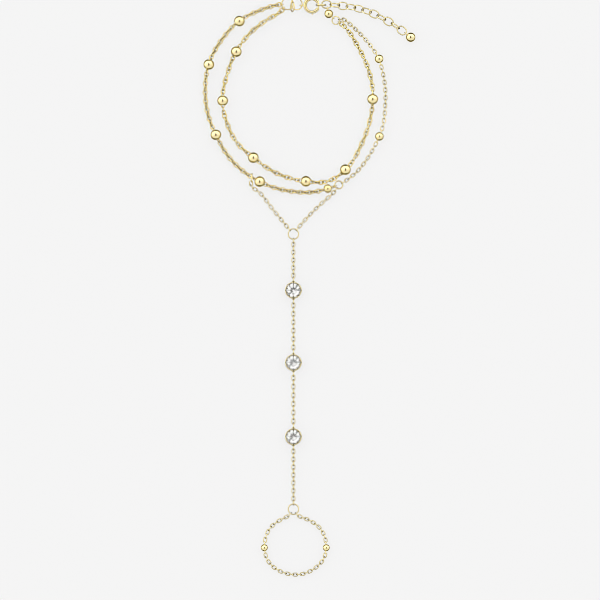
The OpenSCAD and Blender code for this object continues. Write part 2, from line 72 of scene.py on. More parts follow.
def build(name, points, faces, finish, smooth=True, body="root", replaces=(), marks=None):
    """A mesh object from an array of points and of faces, riding its body with its finish. Marks
    are numbers that the mesh carries at its points, for the finish to read."""
    mesh = bpy.data.meshes.new(name)
    mesh.from_pydata(points, [], faces if isinstance(faces, list) else faces.tolist())
    mesh.polygons.foreach_set("use_smooth", np.full(len(mesh.polygons), smooth))
    for mark, values in (marks or {}).items():
        mesh.attributes.new(mark, "FLOAT", "POINT").data.foreach_set("value", values)
    mesh.materials.append(finish)
    mesh.update()
    piece = bpy.data.objects.new(name, mesh)
    bpy.context.scene.collection.objects.link(piece)
    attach(piece, body)
    if replaces:
        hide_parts(*replaces)
    print(name, len(points), "points", len(mesh.polygons), "faces")
    return piece


print("a closed grid of 14 by 6 points has", len(grid_faces(14, 6)), "faces")

# %% [markdown]
# A finish is worked out with a few lines of arithmetic instead of a wall of nodes. A Value
# stands for a socket, and adding or multiplying Values adds the Math nodes that do the same.


# %% A small language for finishes
class Value:
    """What a socket gives: a number, which arithmetic works on by adding Math nodes, or a vector,
    a colour or a shader to hand to another node."""

    def __init__(self, finish, socket):
        self.finish, self.socket = finish, socket

    def math(self, operation, *values):
        return self.finish.node("ShaderNodeMath", {"operation": operation}, dict(enumerate(values)))

    def __add__(self, other):
        return self.math("ADD", self, other)

    def __sub__(self, other):
        return self.math("SUBTRACT", self, other)

    def __rsub__(self, other):
        return self.math("SUBTRACT", other, self)

    def __mul__(self, other):
        return self.math("MULTIPLY", self, other)

    __radd__ = __add__
    __rmul__ = __mul__

    def rise(self, low, high):
        """0 below low, 1 above high, with a smooth rise between them."""
        return self.finish.node(
            "ShaderNodeMapRange",
            {"interpolation_type": "SMOOTHSTEP"},
            {"Value": self, "From Min": low, "From Max": high},
        )

    def parts(self):
        """The X, Y and Z of a vector, as three Values."""
        split = self.finish.node("ShaderNodeSeparateXYZ", {}, {"Vector": self}).socket.node
        return [Value(self.finish, socket) for socket in split.outputs]


class Finish:
    """A material or a world under construction, with one method that adds a node of any type."""

    def __init__(self, owner, shader="Principled BSDF"):
        owner.use_nodes = True
        self.owner, self.tree = owner, owner.node_tree
        self.shader = self.tree.nodes[shader]

    def node(self, kind, settings=None, inputs=None, output=0):
        made = self.tree.nodes.new(kind)
        for key, value in (settings or {}).items():
            setattr(made, key, value)
        self.feed(made, inputs or {})
        return Value(self, made.outputs[output])

    def feed(self, made, inputs):
        for key, value in inputs.items():
            if isinstance(value, Value):
                self.tree.links.new(value.socket, made.inputs[key])
            else:
                made.inputs[key].default_value = value

    def noise(self, scale, detail=2.0, stretch=(1, 1, 1), shift=(0, 0, 0)):
        """Soft random patches, so many to the metre, stretched along an axis."""
        place = self.node(
            "ShaderNodeMapping",
            {},
            {
                "Vector": self.node("ShaderNodeTexCoord", {}, {}, "Object"),
                "Scale": stretch,
                "Location": shift,
            },
        )
        return self.node(
            "ShaderNodeTexNoise", {}, {"Vector": place, "Scale": scale, "Detail": detail}
        )

    def mark(self, name):
        """A number that the mesh carries at each of its points."""
        return self.node("ShaderNodeAttribute", {"attribute_name": name}, {}, "Fac")

    def mix(self, share, first, second):
        """One colour passing into another as share goes from 0 to 1."""
        return self.node(
            "ShaderNodeMix",
            {"data_type": "RGBA"},
            {"Factor": share, 6: first, 7: second},
            2,
        )

    def bump(self, height, distance, strength):
        return self.node(
            "ShaderNodeBump",
            {},
            {"Height": height, "Distance": distance, "Strength": strength},
        )

    def corner_shade(self, reach):
        """Painted shade: 1 deep in a corner between two wires, 0 on open metal, from what lies within
        reach.
        """
        made = self.node("ShaderNodeAmbientOcclusion", {"samples": 8}, {"Distance": reach}, "AO")
        return 1 - made.rise(0.1, 0.6)

    def blend(self, share, first, second):
        """One shader passing into another as share goes from 0 to 1."""
        return self.node("ShaderNodeMixShader", {}, {0: share, 1: first, 2: second})


# %% [markdown]
# The metal is a pale yellow gold plating. Polished metal has no colour of its own but the one
# that it gives to its reflections, so its base colour is the tint of a white wall seen in it.
# What makes it real is small: a warmer tone where the plating is thick and soft hairlines left
# by the polishing wheel. Shade is painted into the colour as well: a deeper tone on the inner
# side of each wire and an olive tone at the place where two links rub, which the meshes carry as
# marks at their points, and olive in every narrow corner, which an Ambient Occlusion node finds
# by looking a short way round each point. The twisted strands have a richer tint than the fine
# chains, and the settings a creamier one.

# %% Gold finishes
CREAM = (0.95, 0.87, 0.57, 1)
RICH = (0.98, 0.83, 0.36, 1)
PALE = (0.96, 0.85, 0.48, 1)
WARM = (0.87, 0.71, 0.28, 1)
# Tones of painted shade: deeper on the inner side of wires, olive in corners and between links
SHADE_DEEP = (0.52, 0.40, 0.12, 1)
SHADE_OLIVE = (0.10, 0.065, 0.01, 1)
# Cells of noise to the metre: warm patches, worn specks and hairlines
PATCHES, SPECKS, HAIRLINES = 180, 2600, 1500


def gold(name, main, tone, roughness, hairline, reach, marked=False, inner_shade_share=0.75):
    """Plated gold: tone is the share of warm patches on the main tint, hairline the strength of
    its scratches, reach how far the painted corner shade spreads, and dull the share of painted
    shade on the inner side of each wire."""
    finish = Finish(bpy.data.materials.new(name))
    patches = finish.noise(PATCHES, 3).rise(0.35, 0.75) * tone
    colour = finish.mix(patches, main, WARM)
    worn = finish.noise(SPECKS, 4, shift=(3, 1, 2)).rise(0.52, 0.78)
    lines = finish.noise(HAIRLINES, 5, stretch=(14, 1.5, 3)).rise(0.45, 0.8)
    rough = roughness + worn * (0.5 * roughness) + lines * (0.6 * roughness)
    # Painted shade: a deeper tone on the inner side of each wire, and olive where parts lie in each
    # other's shade
    if marked:
        inner_shade = finish.mark("inside").rise(0.35, 1.0)
        colour = finish.mix(inner_shade * inner_shade_share, colour, SHADE_DEEP)
        painted_shade = finish.mark("painted_shade")
        colour = finish.mix(painted_shade * 0.95, colour, SHADE_OLIVE)
        rough = rough + inner_shade * 0.12 + painted_shade * 0.1
    # Painted shade: olive in every narrow corner that the Ambient Occlusion node finds
    colour = finish.mix(finish.corner_shade(reach) * 0.9, colour, SHADE_OLIVE)
    finish.feed(
        finish.shader,
        {
            "Base Color": colour,
            "Metallic": 1.0,
            "Roughness": rough,
            "Normal": finish.bump(lines * 0.6 + worn * 0.4, 0.00001, hairline),
        },
    )
    return finish.owner


mirror_gold = gold("mirror_gold", PALE, tone=0.25, roughness=0.045, hairline=0.05, reach=0.5 * MM)
strand_gold = gold("strand_gold", RICH, tone=0.3, roughness=0.1, hairline=0.15, reach=0.12 * MM,
                   marked=True, inner_shade_share=0.1)
chain_gold = gold("chain_gold", PALE, tone=0.3, roughness=0.12, hairline=0.15, reach=0.35 * MM,
                  marked=True, inner_shade_share=0.2)
ring_gold = gold("ring_gold", PALE, tone=0.4, roughness=0.09, hairline=0.12, reach=0.4 * MM,
                 marked=True, inner_shade_share=1.0)
clasp_gold = gold("clasp_gold", PALE, tone=0.5, roughness=0.08, hairline=0.12, reach=0.9 * MM)
setting_gold = gold("setting_gold", CREAM, tone=0.2, roughness=0.07, hairline=0.1, reach=0.4 * MM,
                    marked=True)
print("gold finishes ready")

# %% [markdown]
# The strands follow the same routes as the solids that they replace. A route is a few places
# on the table, and the curve through them is a chain of cubics: each leaves and arrives along
# the mean direction of its neighbours. The curve is then walked by its length, because links
# sit at even steps of length and not of parameter.


# %% Routes of the two strands
def smooth_route(places, steps=32):
    """Cubic curves through the places, each in so many steps. The direction at a place is the
    mean of the two chords that meet there, the shorter one counting more."""
    places = np.array(places, float)
    step = np.linalg.norm(np.diff(places, axis=0), axis=1)
    way = np.diff(places, axis=0) / step[:, None]
    inner = (way[:-1] * step[1:, None] + way[1:] * step[:-1, None]) / (step[1:] + step[:-1])[:, None]
    heading = np.vstack([way[:1], inner, way[-1:]])
    t = (np.arange(steps) / steps)[None, :, None]
    a, b = places[:-1, None], places[1:, None]
    p, q = heading[:-1, None] * step[:, None, None], heading[1:, None] * step[:, None, None]
    curve = a * (1 - 3 * t**2 + 2 * t**3) + b * (3 * t**2 - 2 * t**3)
    curve = curve + p * (t - 2 * t**2 + t**3) + q * (t**3 - t**2)
    return np.vstack([curve.reshape(-1, 2), places[-1:]])


def walked(places, steps=32):
    """The curve's points, the length at each of them, and the length at each given place."""
    curve = smooth_route(places, steps)
    along = np.concatenate([[0], np.cumsum(np.linalg.norm(np.diff(curve, axis=0), axis=1))])
    return curve, along, along[::steps]


inner_places = [(-1.9, 30.7), (-4.4, 28), (-8.4, 25.6), (-13.8, 21.4), (-18.3, 15.4), (-21, 8.8)]
inner_places += [(-22.7, -0.3), (-21.2, -7.6), (-17.8, -14), (-12.8, -18.5), (-5, -23.6)]
inner_places += [(4, -26.1), (11, -26), (16.7, -22.4), (21.4, -15), (24.6, -6), (25.4, 0.2)]
inner_places += [(24.5, 8), (21, 16.4), (15.2, 24.4), (13.6, 25.4)]
outer_places = [(-1.9, 30.7), (-4.9, 30.4), (-10, 28.9), (-17.3, 25.2), (-22.6, 19.7), (-27.1, 11.3)]
outer_places += [(-28.2, 4), (-27.5, -4), (-24.8, -11.2), (-20.2, -18.8), (-10.8, -26.2)]
outer_places += [(-1, -29.2), (6, -29.5), (11, -28.4), (14.5, -27.2)]
BALL, BEAD = 3.4, 2.75
inner_route, outer_route = walked(inner_places), walked(outer_places)
# The balls sit at some of these places, counted from the clasp's end
inner_seats = [(inner_route[2][i], BALL) for i in (4, 6, 9, 11, 13, 16)]
outer_seats = [(outer_route[2][i], BALL) for i in (3, 5, 8, 10)] + [(outer_route[2][13], BEAD)]
print("strands, mm:", round(inner_route[1][-1], 1), round(outer_route[1][-1], 1))

# %% [markdown]
# A threaded ball lifts the chain: the chain runs level through the bore and slopes down to the
# table over four millimetres on each side, along half a wave of a cosine.

# %% Heights and directions along a strand
# Height of a strand's axis on the table, length of a slope, and half the chord for a direction
TABLE_Z, SLOPE, HALF_CHORD = 0.9, 4.0, 0.3


def lift(s, seats):
    """Height of the strand's axis: its own on the table, eased up to each ball's middle."""
    t = [np.clip((np.abs(s - at) - size / 2) / SLOPE, 0, 1) for at, size in seats]
    rise = [(size / 2 - TABLE_Z) * (1 + np.cos(np.pi * k)) / 2 for k, (_, size) in zip(t, seats)]
    return TABLE_Z + np.max(rise, axis=0)


def axis_point(route, seats, s):
    """Points of the strand's axis at the lengths s."""
    curve, along, _ = route
    x, y = np.interp(s, along, curve[:, 0]), np.interp(s, along, curve[:, 1])
    return np.stack([x, y, lift(s, seats)], -1)


def axis_frame(route, seats, s):
    """Forward, sideways and upward directions of the strand's axis at the lengths s: forward
    is along a short chord, sideways is level, and upward is square to both."""
    forward = axis_point(route, seats, s + HALF_CHORD) - axis_point(route, seats, s - HALF_CHORD)
    forward /= np.linalg.norm(forward, axis=-1, keepdims=True)
    side = np.cross([0, 0, 1], forward)
    side /= np.linalg.norm(side, axis=-1, keepdims=True)
    return np.stack([forward, side, np.cross(forward, side)], -1)


first_ball = np.array([inner_seats[0][0]])
print("axis at the first ball, mm:", axis_point(inner_route, inner_seats, first_ball).round(2))

# %% [markdown]
# Each strand is a twisted chain of small round links: every link is hooked into the one before
# and turned about the chain by about a sixth of a turn. Where a link lies flat the chain looks
# wide, and where it stands on edge it looks narrow, which gives the beat of bulges along it.
# The outer strand's links are smaller and follow closer, so its beat is shorter.

# %% One round link
LINK_SEGMENTS, WIRE_SIDES = 14, 6


def ring_line(length, width):
    """Centre line of a round link from half its length and half its width: a level ellipse."""
    t = np.linspace(0, 2 * np.pi, LINK_SEGMENTS, endpoint=False)
    return np.stack([length * np.cos(t), width * np.sin(t), 0 * t], -1)


def wire_round(line, radius, sides):
    """A round wire on a closed centre line: circles square to it, turned to face its middle.
    With each point comes its share of inside, 0 on the outer side and 1 on the inner side."""
    forward = np.roll(line, -1, 0) - np.roll(line, 1, 0)
    forward /= np.linalg.norm(forward, axis=1, keepdims=True)
    outward = line - line.mean(0)
    outward -= (outward * forward).sum(1, keepdims=True) * forward
    outward /= np.linalg.norm(outward, axis=1, keepdims=True)
    up = np.cross(forward, outward)
    a = np.linspace(0, 2 * np.pi, sides, endpoint=False)[None, :, None]
    points = line[:, None] + radius * (np.cos(a) * outward[:, None] + np.sin(a) * up[:, None])
    inside = np.broadcast_to((1 - np.cos(a[..., 0])) / 2, points.shape[:2])
    return points.reshape(-1, 3), inside.reshape(-1)


link_faces = grid_faces(LINK_SEGMENTS, WIRE_SIDES)
print("each link has", len(link_faces), "faces")

# %% [markdown]
# Hundreds of links are one array: the link's points times each link's own turn and direction,
# plus its place on the axis. Inside a ball the bore is tight, so the links there are drawn in a
# little. A standing eye at each end holds the ring, as on the solid. The links pull on each
# other at their two ends and lie there in each other's shade, so the ends carry a painted shade
# mark.

# %% Weave both strands
EYE_R, EYE_WIRE, HOOK_PLAY = 0.5, 0.15, 0.02
# How far links are drawn in inside a bore, and the share of a link's half length from which its ends
# take painted shade
BORE_SQUEEZE, SHADE_END_SHARE = 0.14, 0.76
# Where the squeeze ends and how far it fades, in ball widths from the middle of a ball
SQUEEZE_END, SQUEEZE_SPAN = 1.3, 0.6
# Radii of the jump rings, to the middle of their wire
SMALL_RING, LEANING_RING, LARGE_RING, CLASP_RING = 1.27, 1.46, 1.67, 1.85


def eye(centre, forward):
    """A round wire eye that stands upright in the strand's own direction."""
    line = ring_line(EYE_R, EYE_R)
    return wire_round(centre + line[:, :1] * forward + line[:, 1:2] * [0, 0, 1.0], EYE_WIRE, WIRE_SIDES)


def weave(strand, route, seats, rings, length, width, wire, pitch, step):
    """The strand between two rings as one mesh, with an eye at either end: links of half a
    length and half a width, each turned about the axis by step degrees from the last."""
    first, last = rings[0], route[1][-1] - rings[1]
    reach = EYE_R - EYE_WIRE - HOOK_PLAY + length - wire / 2
    count = round((last - first - 2 * reach) / pitch) + 1
    s = np.linspace(first + reach, last - reach, count)
    turn = np.radians(step * np.arange(count))
    c, k = np.cos(turn)[:, None], np.sin(turn)[:, None]
    near = [(SQUEEZE_END - np.abs(s - at) / size) / SQUEEZE_SPAN for at, size in seats]
    squeeze = 1 - BORE_SQUEEZE * np.clip(np.max(near, axis=0), 0, 1)[:, None]
    link_points, link_inside = wire_round(ring_line(length, width), wire / 2, WIRE_SIDES)
    x, y, z = link_points.T
    # Painted shade at the link's two ends, where it hooks into its neighbours
    link_painted_shade = np.clip((np.abs(x) / length - SHADE_END_SHARE) / (1 - SHADE_END_SHARE), 0, 1)
    local = np.stack([x + 0 * c, squeeze * (c * y - k * z), squeeze * (k * y + c * z)], -1)
    axes = axis_frame(route, seats, s)
    points = np.einsum("nij,nkj->nki", axes, local) + axis_point(route, seats, s)[:, None]
    parts, inside = [points.reshape(-1, 3)], [np.tile(link_inside, count)]
    for at in (first, last):
        centre, forward = axis_point(route, seats, np.array(at)), axis_frame(route, seats, np.array(at))
        eye_points, eye_inside = eye(centre, forward[:, 0])
        parts.append(eye_points)
        inside.append(eye_inside)
    painted_shade = np.concatenate([np.tile(link_painted_shade, count), np.zeros(2 * len(eye_points))])
    faces = link_faces[None] + len(link_points) * np.arange(count + 2)[:, None, None]
    build(f"woven_{strand}", np.concatenate(parts) * MM, faces.reshape(-1, 4),
          strand_gold, replaces=(strand,), marks={"inside": np.concatenate(inside), "painted_shade": painted_shade})


weave("inner_strand", inner_route, inner_seats, rings=(CLASP_RING, SMALL_RING),
      length=0.775, width=0.7, wire=0.39, pitch=1.12, step=-54)
weave("outer_strand", outer_route, outer_seats, rings=(CLASP_RING, SMALL_RING),
      length=0.685, width=0.7, wire=0.37, pitch=0.95, step=-60)

# %% [markdown]
# A ball is drilled through and polished like a mirror. It is a profile turned about its bore:
# the bore's wall, a rounded lip, the sphere, and the other lip. The lip matters, since it draws
# the thin dark line where the chain goes in.

# %% Turn the balls
BORE_R, LIP = 0.8, 0.07


def ball_profile(size, arcs=30):
    """Distance along the bore and from it: wall, lip and sphere, closed on itself."""
    r = size / 2
    edge = np.arcsin((BORE_R + LIP) / r)
    a = np.linspace(edge, np.pi - edge, arcs)
    sphere = np.stack([-r * np.cos(a), r * np.sin(a)], -1)
    mouth = r * np.cos(edge) - 0.02
    b = np.linspace(0.25, 1.3, 4)
    lip = np.stack([mouth - LIP * (1 - np.sin(b)), BORE_R + LIP * (1 - np.cos(b))], -1)
    wall = np.array([[0.6 * mouth, BORE_R], [-0.6 * mouth, BORE_R]])
    return np.vstack([sphere, lip[::-1], wall, lip * [-1, 1]])


def ball(node, route, seats, which, around=48):
    """The profile turned about the strand's level stretch, at the seat's own height."""
    at, size = seats[which]
    a, b = axis_point(route, seats, np.array([at - size / 2, at + size / 2]))
    centre, forward = (a + b) / 2, (b - a) / np.linalg.norm(b - a)
    side = np.cross([0, 0, 1], forward)
    up = np.cross(forward, side)
    profile = ball_profile(size)
    t = np.linspace(0, 2 * np.pi, around, endpoint=False)[:, None, None]
    ring = profile[None, :, 1:] * (np.cos(t) * side + np.sin(t) * up)
    points = centre + profile[None, :, :1] * forward + ring
    faces = grid_faces(around, len(profile))[:, ::-1]
    build(f"polished_{node}", points.reshape(-1, 3) * MM, faces, mirror_gold,
          replaces=(node,))


for which in range(len(inner_seats)):
    ball(f"inner_ball_{which + 1}", inner_route, inner_seats, which)
for which in range(len(outer_seats)):
    ball(f"outer_ball_{which + 1}", outer_route, outer_seats, which)

# %% [markdown]
# A jump ring is a turn of round wire that was bent shut, and its two ends meet in a fine butt
# joint. The joint is a groove: over a few degrees the wire's radius dips.

# %% Close the jump rings
# Radius of the wire, sides of its section, and share of the radius left in the joint
RING_WIRE, RING_SIDES, JOINT_SHARE = 0.18, 12, 0.8


def jump_ring(name, place, radius, spin, tilt, joint):
    """Circles of wire carried round a circle, in steps that lie close together at the joint,
    then leaned by tilt about the ring's own Y and spun about the vertical."""
    t = np.concatenate([np.linspace(4, 356, 60), [358, 359.4, 360.6, 362]])
    dip = np.where(np.abs(t - 360) < 1, JOINT_SHARE, 1.0)[:, None, None]
    t = np.radians(t + joint)[:, None, None]
    a = np.linspace(0, 2 * np.pi, RING_SIDES, endpoint=False)[None, :, None]
    out = np.concatenate([np.cos(t), np.sin(t), 0 * t], -1)
    flat = out * (radius + RING_WIRE * dip * np.cos(a)) + RING_WIRE * dip * np.sin(a) * [0, 0, 1.0]
    c, s = np.cos(np.radians(tilt)), np.sin(np.radians(tilt))
    lean = np.array([[c, 0, s], [0, 1, 0], [-s, 0, c]])
    c, s = np.cos(np.radians(spin)), np.sin(np.radians(spin))
    spun = np.array([[c, -s, 0], [s, c, 0], [0, 0, 1]])
    points = flat.reshape(-1, 3) @ (spun @ lean).T + place
    # Painted shade on the inner side of the wire
    inside = np.broadcast_to((1 - np.cos(a[..., 0])) / 2, flat.shape[:2]).reshape(-1) * 0.8
    build(f"jump_{name}", points * MM, grid_faces(len(t), RING_SIDES), ring_gold,
          replaces=(name,), marks={"inside": inside})


def middle(node):
    """The middle of a node's box, in millimetres."""
    low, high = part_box(node)
    return np.array((low + high) / 2) / MM


# The end ring leans up to the end bead, whose middle lies higher than the chains on the table
end_bead, end_ring, bead_z = np.array([11.3, 27.5]), np.array([13.6, 25.4]), 1.4
to_bead = np.degrees(np.arctan2(*(end_bead - end_ring)[::-1]))
up_to_bead = -np.degrees(np.arcsin((bead_z - TABLE_Z) / (2 * SMALL_RING)))
for name, radius, spin, tilt, joint in (
    ("strand_ring", CLASP_RING, 0, 0, 80),
    ("clasp_link_ring", LEANING_RING, 0, -67, 200),
    ("clasp_ring", CLASP_RING, 0, 18, 250),
    ("end_ring", SMALL_RING, to_bead, up_to_bead, 70),
    ("side_ring", SMALL_RING, 0, 0, 320),
    ("hand_ring", LARGE_RING, 0, 0, 200),
    ("finger_ring", LARGE_RING, 0, 0, 100),
):
    jump_ring(name, middle(name), radius, spin, tilt, joint)

# %% [markdown]
# Each stone is a round brilliant of clear glass. A jeweller names its facets: the table, eight
# stars and eight kites on the crown, sixteen upper halves down to the girdle, and on the
# pavilion sixteen lower halves and eight mains that meet at the culet. Facets stay flat and
# sharp, since their edges break up the light.

# %% Cut the stones
STONE_R, CROWN, GIRDLE, PAVILION, GIRDLE_Z = 2.25, 0.7, 0.12, 1.9, 2.15
STONE_Y = (-60.9, -84.0, -107.7)


def circle(radius, z, count, turn=0.0):
    """Points round a circle at one height, the first turned by part of a step."""
    t = 2 * np.pi * (np.arange(count) + turn) / count
    return np.stack([radius * np.cos(t), radius * np.sin(t), np.full(count, z)], -1)


def brilliant():
    """Corners and facets of the stone, with kites and mains kept flat."""
    table, breaks, low = 0.56, 0.8, 0.3
    flat = np.cos(np.pi / 8)
    crown_break = CROWN * (1 - breaks * flat) / (1 - table)
    pavilion_break = -PAVILION * (1 - low * flat)
    points = np.vstack([
        circle(table * STONE_R, GIRDLE + CROWN, 8),
        circle(breaks * STONE_R, GIRDLE + crown_break, 8, 0.5),
        circle(STONE_R, GIRDLE, 16),
        circle(STONE_R, 0, 16),
        circle(low * STONE_R, pavilion_break, 8, 0.5),
        [[0, 0, -PAVILION]],
    ])
    facets = [list(range(8))]
    for k in range(8):
        n, g, h = (k + 1) % 8, 16 + 2 * k, 32 + 2 * k
        g1, g2, h1, h2 = g + 1, 16 + (2 * k + 2) % 16, h + 1, 32 + (2 * k + 2) % 16
        before = 8 + (k - 1) % 8
        facets += [[k, 8 + k, n], [k, before, g, 8 + k], [g, g1, 8 + k], [g1, g2, 8 + k]]
        facets += [[h, h1, g1, g], [h1, h2, g2, g1]]
        facets += [[h1, h, 48 + k], [h2, h1, 48 + k], [h, 48 + (k - 1) % 8, 56, 48 + k]]
    return points, facets


stone_glass = Finish(bpy.data.materials.new("stone_glass"))
veil = stone_glass.noise(700, 3).rise(0.5, 0.9)
stone_glass.feed(
    stone_glass.shader,
    {
        "Base Color": stone_glass.mix(veil, (0.97, 0.97, 0.96, 1), (0.90, 0.89, 0.87, 1)),
        "Roughness": veil * 0.02 + 0.005,
        "Transmission Weight": 1.0,
        "IOR": 1.9,
    },
)
stone_points, stone_facets = brilliant()
for k, y in enumerate(STONE_Y):
    build(f"cut_stone_{k + 1}", (stone_points + [0, y, GIRDLE_Z]) * MM, stone_facets,
          stone_glass.owner, smooth=False, replaces=(f"stone_{k + 1}",))

# %% [markdown]
# A setting is a spun cup that narrows to its foot. The stone sits on a ledge inside, the lip is
# rounded over, and eight scallops are filed across it. Its section is a closed profile turned
# about the upright axis, and the scallops only lower the points of the lip, by as much as a
# round file would take at each angle. Ten small grains, raised from the lip with a graver, hold
# the stone's edge, and two flat ears are soldered on for the chain.

# %% Spin the settings
CUP_R, FOOT_R, CUP_TOP, RIM_H, EAR_Z = 2.69, 1.83, 2.57, 0.42, 0.65
LIP_R, SEAT_R, SEAT_Z, BORE_TOP, BORE_FOOT = 0.17, 2.31, 1.84, 2.03, 1.45
SCALLOPS, FILE_R = 8, 0.255
EAR_R, EAR_WIRE, EAR_SEGMENTS, EAR_SIDES = 0.45, 0.14, 24, 8
LIP_MIDDLE = (CUP_R + SEAT_R) / 2
GRAINS, GRAIN_R, GRAIN_PLACE, GRAIN_Z = 10, 0.2, 2.02, 2.5


def cup_profile():
    """Radius and height: up the outside, over the lip, down to the ledge and down the bore."""
    a = np.linspace(0, np.pi, 11)
    half = (CUP_R - SEAT_R) / 2
    lip = np.stack([SEAT_R + half + half * np.cos(a), CUP_TOP - LIP_R + LIP_R * np.sin(a)], -1)
    rim_z = CUP_TOP - RIM_H
    outside = [[FOOT_R, 0], [FOOT_R + 0.04, 0.04]]
    outside += [[FOOT_R + (CUP_R - FOOT_R) * k, rim_z * k] for k in (0.35, 0.7, 0.97)]
    inside = [[SEAT_R, SEAT_Z + 0.03], [SEAT_R - 0.03, SEAT_Z]]
    inside += [[BORE_TOP, SEAT_Z - 0.02], [BORE_FOOT, 0]]
    return np.vstack([outside, [[CUP_R, rim_z + 0.06]], lip, inside])


def cup(around=128):
    """The profile turned round, with its lip lowered to the file's round cut at each scallop."""
    profile = cup_profile()
    t = 2 * np.pi * np.arange(around) / around
    across = np.abs((t * SCALLOPS / (2 * np.pi) + 0.5) % 1 - 0.5) * 2 * np.pi / SCALLOPS * CUP_R
    cut = np.sqrt(np.maximum(FILE_R**2 - across**2, 0))
    z = np.minimum(profile[None, :, 1], (CUP_TOP - cut)[:, None])
    r = profile[None, :, 0]
    return np.stack([r * np.cos(t)[:, None], r * np.sin(t)[:, None], z], -1).reshape(-1, 3), len(profile)


def grain():
    """A round grain of metal: half a circle turned round, open only as wide as a needle prick."""
    a = np.linspace(0, np.pi, 7)
    r, z = 0.01 + GRAIN_R * np.sin(a), GRAIN_R * np.cos(a)
    t = np.linspace(0, 2 * np.pi, 10, endpoint=False)[:, None]
    points = np.stack([r * np.cos(t), r * np.sin(t), z + 0 * t], -1).reshape(-1, 3)
    return points, grid_faces(len(t), len(a))[:, ::-1]


cup_points, cup_rows = cup()
cup_r = np.hypot(cup_points[:, 0], cup_points[:, 1])
# Painted shade: a deeper tone on the cup's inner wall past the lip's middle, and olive that grows with
# depth below the lip's top
past_lip = np.tile(np.arange(cup_rows) > cup_rows // 2, len(cup_points) // cup_rows)
cup_inner_shade = np.clip((LIP_MIDDLE - cup_r) / 0.06, 0, 1) * past_lip
cup_depth_shade = np.clip((CUP_TOP - cup_points[:, 2]) / FILE_R, 0, 1) * (cup_r < CUP_R - 0.02)
cup_faces = grid_faces(len(cup_points) // cup_rows, cup_rows)
t = np.linspace(0, 2 * np.pi, EAR_SEGMENTS, endpoint=False)
ear_line = EAR_R * np.stack([np.cos(t), np.sin(t), 0 * t], -1)
ear_points, _ = wire_round(ear_line, EAR_WIRE, EAR_SIDES)
ear_faces = grid_faces(EAR_SEGMENTS, EAR_SIDES)
ear_y = FOOT_R + (CUP_R - FOOT_R) * EAR_Z / (CUP_TOP - RIM_H) + EAR_R
grain_points, grain_faces = grain()
places = circle(GRAIN_PLACE, GRAIN_Z, GRAINS, 0.5)
parts = [(cup_points, cup_faces, 0.6 * cup_inner_shade, cup_depth_shade)]
parts += [(ear_points + [0, side * ear_y, EAR_Z], ear_faces, 0, 0) for side in (-1, 1)]
# Each grain is wholly olive painted shade
parts += [(grain_points + place, grain_faces, 0, 1) for place in places]
starts = np.cumsum([0] + [len(part[0]) for part in parts])
setting_points = np.vstack([part[0] for part in parts])
setting_faces = np.vstack([part[1] + start for part, start in zip(parts, starts)])
marks = {
    name: np.concatenate([np.broadcast_to(part[k], len(part[0])) for part in parts])
    for name, k in (("inside", 2), ("painted_shade", 3))
}
for k, y in enumerate(STONE_Y):
    build(f"spun_setting_{k + 1}", (setting_points + [0, y, 0]) * MM, setting_faces,
          setting_gold, replaces=(f"setting_{k + 1}",), marks=marks)

# %% [markdown]
# The cable links lie as the imported solids lie, and each node is a row of loose links. Their
# places could be worked out again from the chains' routes, but the frame already has them: a
# link's middle is the middle of its surface, and the directions in which its surface spreads
# most and least are its long way and the way square to its opening. A clean link of a few dozen
# faces is laid there. The ends of a link that stands on edge lie deep between its neighbours, in
# their shade, so they carry a painted shade mark.

# %% Find the loose links of a node
def loose_links(node):
    """Middle, directions and length of each loose solid.

    Points in one place share a number, and every triangle passes the lowest number of its
    corners on, until a solid has one number. The directions are those of the spread of its
    triangles' middles, each counted by its area."""
    mesh = frame["nodes"][node].data
    points, corners = np.empty(3 * len(mesh.vertices)), np.empty(len(mesh.loops), int)
    mesh.vertices.foreach_get("co", points)
    mesh.loops.foreach_get("vertex_index", corners)
    points = points.reshape(-1, 3) / MM
    _, where, same = np.unique(points.round(4), axis=0, return_index=True, return_inverse=True)
    points, triangles = points[where], same.reshape(-1)[corners].reshape(-1, 3)
    number = np.arange(len(points))
    while True:
        lowest = number.copy()
        np.minimum.at(lowest, triangles, number[triangles].min(1)[:, None])
        lowest = lowest[lowest]
        if (lowest == number).all():
            break
        number = lowest
    a, b, c = (points[triangles[:, k]] for k in range(3))
    middles, areas = (a + b + c) / 3, np.linalg.norm(np.cross(b - a, c - a), axis=1)
    found = []
    for k in np.unique(number):
        own = number[triangles[:, 0]] == k
        centre = np.average(middles[own], axis=0, weights=areas[own])
        spread = (middles[own] - centre) * areas[own, None]
        _, ways = np.linalg.eigh(spread.T @ (middles[own] - centre))
        long_way, wide_way = ways[:, 2], ways[:, 1]
        length = np.ptp((points[number == k] - centre) @ long_way)
        found.append((centre, np.stack([long_way, wide_way, np.cross(long_way, wide_way)]), length))
    return found


print("links of the extender:", len(loose_links("extender_chain")))

# %% Lay the cable links
CABLE_W, CABLE_WIRE, LARGE_W, LARGE_WIRE = 1.3, 0.3, 2.8, 0.4
CABLE_SHADE_FROM, LARGE_SHADE_FROM, SHADE_SPAN = 0.46, 0.66, 0.2
slots = {part["node"]: part["material_slot"] for part in frame["record"]["subparts"]}


def oval_line(length, width, wire):
    """Centre line of a link: two half circles and the straight sides between them."""
    t = np.linspace(-np.pi / 2, np.pi / 2, LINK_SEGMENTS // 2)
    bend, half = (width - wire) / 2, (length - width) / 2
    end = np.stack([half + bend * np.cos(t), bend * np.sin(t), 0 * t], -1)
    return np.vstack([end, -end])


